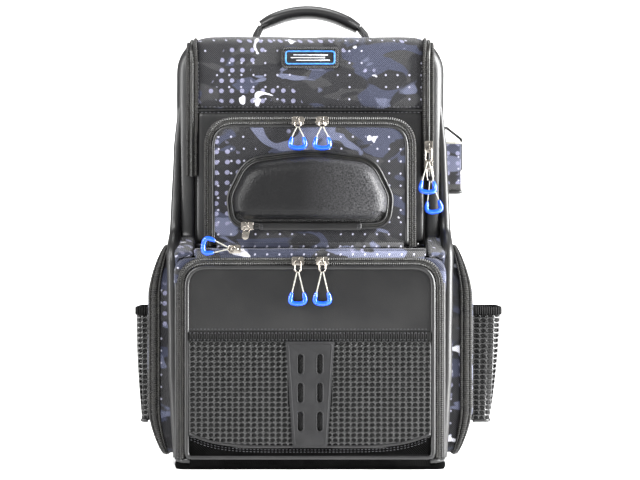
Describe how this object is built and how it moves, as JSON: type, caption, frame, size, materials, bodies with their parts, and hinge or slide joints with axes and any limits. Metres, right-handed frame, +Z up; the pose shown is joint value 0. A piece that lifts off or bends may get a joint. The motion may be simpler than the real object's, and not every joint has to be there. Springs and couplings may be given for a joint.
{
  "type": "tackle backpack",
  "caption": "Upright backpack for fishing tackle, with a peel-open top, a drop-front tray bay, a moulded glasses case, net side pockets and a pliers holster.",
  "frame": {"origin": "middle of the underside of the base, on the floor", "axes": "+Z up, -Y towards the front with the doors, +Y towards the wearer's back, +X to the right seen from the front"},
  "size_m": [0.3946, 0.2942, 0.5107],
  "materials": {
    "camo_fabric": "woven nylon with a printed camouflage",
    "black_fabric": "coated woven nylon, matte",
    "webbing": "woven nylon webbing",
    "zip_tape": "woven zip tape with coil teeth",
    "padding": "foam covered in spacer mesh",
    "net": "open stretch netting",
    "case_shell": "moulded foam covered in textured vinyl",
    "patch_rubber": "moulded soft rubber, matte",
    "badge_rubber": "moulded soft rubber",
    "zip_metal": "dark nickel plated zinc",
    "pull_blue": "bright moulded rubber",
    "buckle_plastic": "moulded acetal",
    "grip_foam": "padded fabric wrap",
    "board": "stiff plastic sheet"
  },
  "bodies": {
    "root": {"side_wall_right": "black_fabric", "side_wall_left": "black_fabric", "back_wall": "black_fabric", "back_board": "board", "base_panel": "black_fabric", "divider_shelf": "padding", "lower_front_frame": "black_fabric", "main_zip": "zip_tape", "lower_zip": "zip_tape", "side_gusset_right": "black_fabric", "side_gusset_left": "black_fabric", "pliers_holster": "black_fabric", "back_pads": "padding", "shoulder_strap_right": "padding", "shoulder_strap_left": "padding", "ladder_locks": "buckle_plastic", "strap_webbings": "webbing", "sternum_webbings": "webbing", "sternum_socket": "buckle_plastic"},
    "handle": {"handle_webbing": "webbing", "handle_grip": "grip_foam"},
    "main_flap": {"flap_camo_panel": "camo_fabric", "flap_black_panel": "black_fabric", "ledge_band": "camo_fabric", "badge": "badge_rubber", "upper_pocket_gusset": "camo_fabric", "upper_zip": "zip_tape"},
    "upper_door": {"upper_pocket_door": "camo_fabric", "case_base": "zip_tape", "case_hinge_strip": "black_fabric"},
    "case_cover": {"case_lid": "case_shell"},
    "lower_door": {"lower_door": "black_fabric", "elastic_band": "webbing", "front_mesh": "net", "centre_patch": "patch_rubber"},
    "side_door_right": {"side_door_right": "camo_fabric", "mesh_pocket_right": "net"},
    "side_door_left": {"side_door_left": "camo_fabric", "mesh_pocket_left": "net"},
    "sternum_plug": {"sternum_plug": "buckle_plastic"},
    "upper_slider_left": {"upper_slider_left": "zip_metal"},
    "upper_pull_left": {"upper_pull_left": "pull_blue"},
    "lower_slider_left": {"lower_slider_left": "zip_metal"},
    "lower_pull_left": {"lower_pull_left": "pull_blue"},
    "upper_slider_right": {"upper_slider_right": "zip_metal"},
    "upper_pull_right": {"upper_pull_right": "pull_blue"},
    "lower_slider_right": {"lower_slider_right": "zip_metal"},
    "lower_pull_right": {"lower_pull_right": "pull_blue"},
    "main_slider_top": {"main_slider_top": "zip_metal"},
    "main_pull_top": {"main_pull_top": "pull_blue"},
    "main_slider_bottom": {"main_slider_bottom": "zip_metal"},
    "main_pull_bottom": {"main_pull_bottom": "pull_blue"},
    "case_slider": {"case_slider": "zip_metal"},
    "case_pull": {"case_pull": "zip_metal"},
    "ledge_slider": {"ledge_slider": "zip_metal"},
    "ledge_pull": {"ledge_pull": "pull_blue"},
    "side_slider_right": {"side_slider_right": "zip_metal"},
    "side_pull_right": {"side_pull_right": "zip_metal"},
    "side_slider_left": {"side_slider_left": "zip_metal"},
    "side_pull_left": {"side_pull_left": "zip_metal"}
  },
  "joints": [
    {"name": "main_flap_opens", "type": "hinge", "parent": "root", "child": "main_flap", "pos_m": [0, -0.116, 0.228], "axis": [1, 0, 0], "range_deg": [0, 50]},
    {"name": "upper_door_opens", "type": "hinge", "parent": "main_flap", "child": "upper_door", "pos_m": [0, -0.103, 0.2365], "axis": [1, 0, 0], "range_deg": [0, 40]},
    {"name": "case_lid_opens", "type": "hinge", "parent": "upper_door", "child": "case_cover", "pos_m": [0, -0.111, 0.263], "axis": [1, 0, 0], "range_deg": [0, 40]},
    {"name": "lower_door_opens", "type": "hinge", "parent": "root", "child": "lower_door", "pos_m": [0, -0.117, 0.01], "axis": [1, 0, 0], "range_deg": [0, 75]},
    {"name": "side_door_right_opens", "type": "hinge", "parent": "root", "child": "side_door_right", "pos_m": [0.174, 0, 0.014], "axis": [0, 1, 0], "range_deg": [0, 55]},
    {"name": "side_door_left_opens", "type": "hinge", "parent": "root", "child": "side_door_left", "pos_m": [-0.174, 0, 0.014], "axis": [0, -1, 0], "range_deg": [0, 55]},
    {"name": "handle_folds", "type": "hinge", "parent": "root", "child": "handle", "pos_m": [0, 0.0895, 0.4655], "axis": [-1, 0, 0], "range_deg": [0, 60]},
    {"name": "sternum_plug_slides", "type": "slide", "parent": "root", "child": "sternum_plug", "axis": [1, 0, 0], "range_m": [0, 0.022]},
    {"name": "upper_slider_left_runs", "type": "slide", "parent": "upper_door", "child": "upper_slider_left", "axis": [-1, 0, 0], "range_m": [0, 0.062]},
    {"name": "upper_pull_left_swings", "type": "hinge", "parent": "upper_slider_left", "child": "upper_pull_left", "pos_m": [-0.013, -0.1088, 0.372], "axis": [-1, 0, 0], "range_deg": [0, 130]},
    {"name": "lower_slider_left_runs", "type": "slide", "parent": "lower_door", "child": "lower_slider_left", "axis": [-1, 0, 0], "range_m": [0, 0.088]},
    {"name": "lower_pull_left_swings", "type": "hinge", "parent": "lower_slider_left", "child": "lower_pull_left", "pos_m": [-0.013, -0.1228, 0.2225], "axis": [-1, 0, 0], "range_deg": [0, 130]},
    {"name": "upper_slider_right_runs", "type": "slide", "parent": "upper_door", "child": "upper_slider_right", "axis": [1, 0, 0], "range_m": [0, 0.062]},
    {"name": "upper_pull_right_swings", "type": "hinge", "parent": "upper_slider_right", "child": "upper_pull_right", "pos_m": [0.013, -0.1088, 0.372], "axis": [-1, 0, 0], "range_deg": [0, 130]},
    {"name": "lower_slider_right_runs", "type": "slide", "parent": "lower_door", "child": "lower_slider_right", "axis": [1, 0, 0], "range_m": [0, 0.088]},
    {"name": "lower_pull_right_swings", "type": "hinge", "parent": "lower_slider_right", "child": "lower_pull_right", "pos_m": [0.013, -0.1228, 0.2225], "axis": [-1, 0, 0], "range_deg": [0, 130]},
    {"name": "main_slider_top_runs", "type": "slide", "parent": "main_flap", "child": "main_slider_top", "axis": [0, 0, 1], "range_m": [0, 0.075]},
    {"name": "main_pull_top_swings", "type": "hinge", "parent": "main_slider_top", "child": "main_pull_top", "pos_m": [0.1275, -0.0831, 0.345], "axis": [-1, 0, 0], "range_deg": [0, 120]},
    {"name": "main_slider_bottom_runs", "type": "slide", "parent": "main_flap", "child": "main_slider_bottom", "axis": [0, 0, -1], "range_m": [0, 0.007]},
    {"name": "main_pull_bottom_swings", "type": "hinge", "parent": "main_slider_bottom", "child": "main_pull_bottom", "pos_m": [0.1275, -0.0831, 0.325], "axis": [-1, 0, 0], "range_deg": [0, 120]},
    {"name": "case_slider_runs", "type": "hinge", "parent": "upper_door", "child": "case_slider", "pos_m": [-0.0647, -0.108, 0.28], "axis": [0, 1, 0], "range_deg": [0, 70]},
    {"name": "case_pull_swings", "type": "hinge", "parent": "case_slider", "child": "case_pull", "pos_m": [-0.067, -0.1138, 0.2596], "axis": [1, 0, 0], "range_deg": [-100, 0]},
    {"name": "ledge_slider_runs", "type": "slide", "parent": "main_flap", "child": "ledge_slider", "axis": [-1, 0, 0], "range_m": [-0.04, 0]},
    {"name": "ledge_pull_swings", "type": "hinge", "parent": "ledge_slider", "child": "ledge_pull", "pos_m": [-0.08, -0.1218, 0.235], "axis": [0, 0, -1], "range_deg": [-120, 0]},
    {"name": "side_slider_right_runs", "type": "slide", "parent": "root", "child": "side_slider_right", "axis": [0, 0, -1], "range_m": [0, 0.14]},
    {"name": "side_pull_right_swings", "type": "hinge", "parent": "side_slider_right", "child": "side_pull_right", "pos_m": [0.161, 0.0559, 0.186], "axis": [1, 0, 0], "range_deg": [0, 120]},
    {"name": "side_slider_left_runs", "type": "slide", "parent": "root", "child": "side_slider_left", "axis": [0, 0, -1], "range_m": [0, 0.14]},
    {"name": "side_pull_left_swings", "type": "hinge", "parent": "side_slider_left", "child": "side_pull_left", "pos_m": [-0.161, 0.0559, 0.186], "axis": [1, 0, 0], "range_deg": [0, 120]}
  ],
  "couplings": [
    {"joint": "main_pull_bottom_swings", "follows": "main_pull_top_swings", "ratio": 1}
  ]
}
